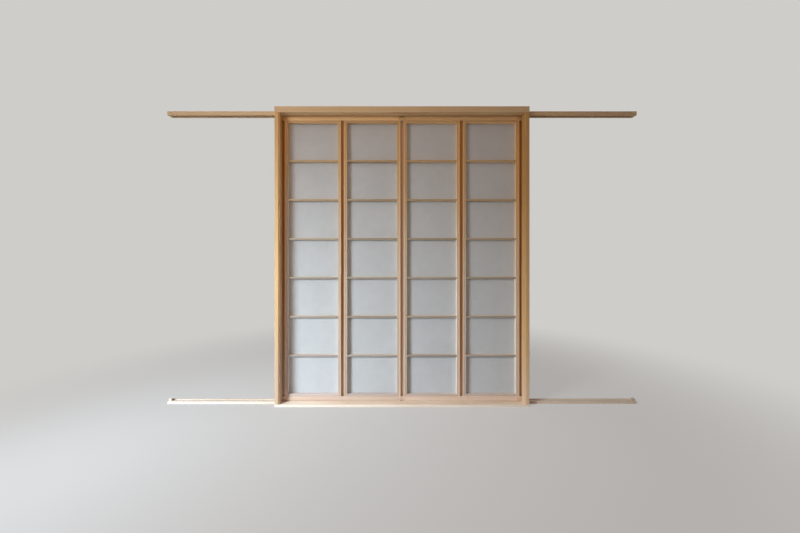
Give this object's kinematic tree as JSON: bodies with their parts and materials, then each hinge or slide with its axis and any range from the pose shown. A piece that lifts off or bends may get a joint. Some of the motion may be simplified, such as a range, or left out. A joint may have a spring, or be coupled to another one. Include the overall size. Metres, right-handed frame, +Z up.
{
  "type": "shoji sliding screen",
  "caption": "Pair of paper lattice screens that part at the middle, in a timber frame with grooved head, sill and side runners.",
  "frame": {"origin": "middle of the sill's underside, halfway through the frame's depth", "axes": "+X to the right as seen from the room, +Y away from the room, +Z up"},
  "size_m": [3.13, 0.132, 1.965],
  "materials": {
    "frame_wood": "planed, bare",
    "panel_wood": "planed, bare",
    "lattice_wood": "planed, bare",
    "paper": "matte, fibrous"
  },
  "bodies": {
    "frame": {"head": "frame_wood", "sill": "frame_wood", "front_jamb_left": "frame_wood", "front_jamb_right": "frame_wood", "back_jamb_left": "frame_wood", "back_jamb_right": "frame_wood", "head_runner_left": "frame_wood", "head_runner_right": "frame_wood", "sill_runner_left": "frame_wood", "sill_runner_right": "frame_wood", "head_stop_left": "frame_wood", "head_stop_right": "frame_wood", "sill_stop_left": "frame_wood", "sill_stop_right": "frame_wood"},
    "left_panel": {"left_outer_stile": "panel_wood", "left_meeting_stile": "panel_wood", "left_mid_stile": "panel_wood", "left_top_rail": "panel_wood", "left_bottom_rail": "panel_wood", "left_inner_backing_frame": "lattice_wood", "left_inner_paper": "paper", "left_inner_bar_1": "lattice_wood", "left_inner_bar_2": "lattice_wood", "left_inner_bar_3": "lattice_wood", "left_inner_bar_4": "lattice_wood", "left_inner_bar_5": "lattice_wood", "left_inner_bar_6": "lattice_wood", "left_outer_backing_frame": "lattice_wood", "left_outer_paper": "paper", "left_outer_bar_1": "lattice_wood", "left_outer_bar_2": "lattice_wood", "left_outer_bar_3": "lattice_wood", "left_outer_bar_4": "lattice_wood", "left_outer_bar_5": "lattice_wood", "left_outer_bar_6": "lattice_wood"},
    "right_panel": {"right_outer_stile": "panel_wood", "right_meeting_stile": "panel_wood", "right_mid_stile": "panel_wood", "right_top_rail": "panel_wood", "right_bottom_rail": "panel_wood", "right_inner_backing_frame": "lattice_wood", "right_inner_paper": "paper", "right_inner_bar_1": "lattice_wood", "right_inner_bar_2": "lattice_wood", "right_inner_bar_3": "lattice_wood", "right_inner_bar_4": "lattice_wood", "right_inner_bar_5": "lattice_wood", "right_inner_bar_6": "lattice_wood", "right_outer_backing_frame": "lattice_wood", "right_outer_paper": "paper", "right_outer_bar_1": "lattice_wood", "right_outer_bar_2": "lattice_wood", "right_outer_bar_3": "lattice_wood", "right_outer_bar_4": "lattice_wood", "right_outer_bar_5": "lattice_wood", "right_outer_bar_6": "lattice_wood"}
  },
  "joints": [
    {"name": "left_slide", "type": "slide", "parent": "frame", "child": "left_panel", "axis": [-1, 0, 0], "range_m": [0, 0.73]},
    {"name": "right_slide", "type": "slide", "parent": "frame", "child": "right_panel", "axis": [1, 0, 0], "range_m": [0, 0.73]}
  ]
}
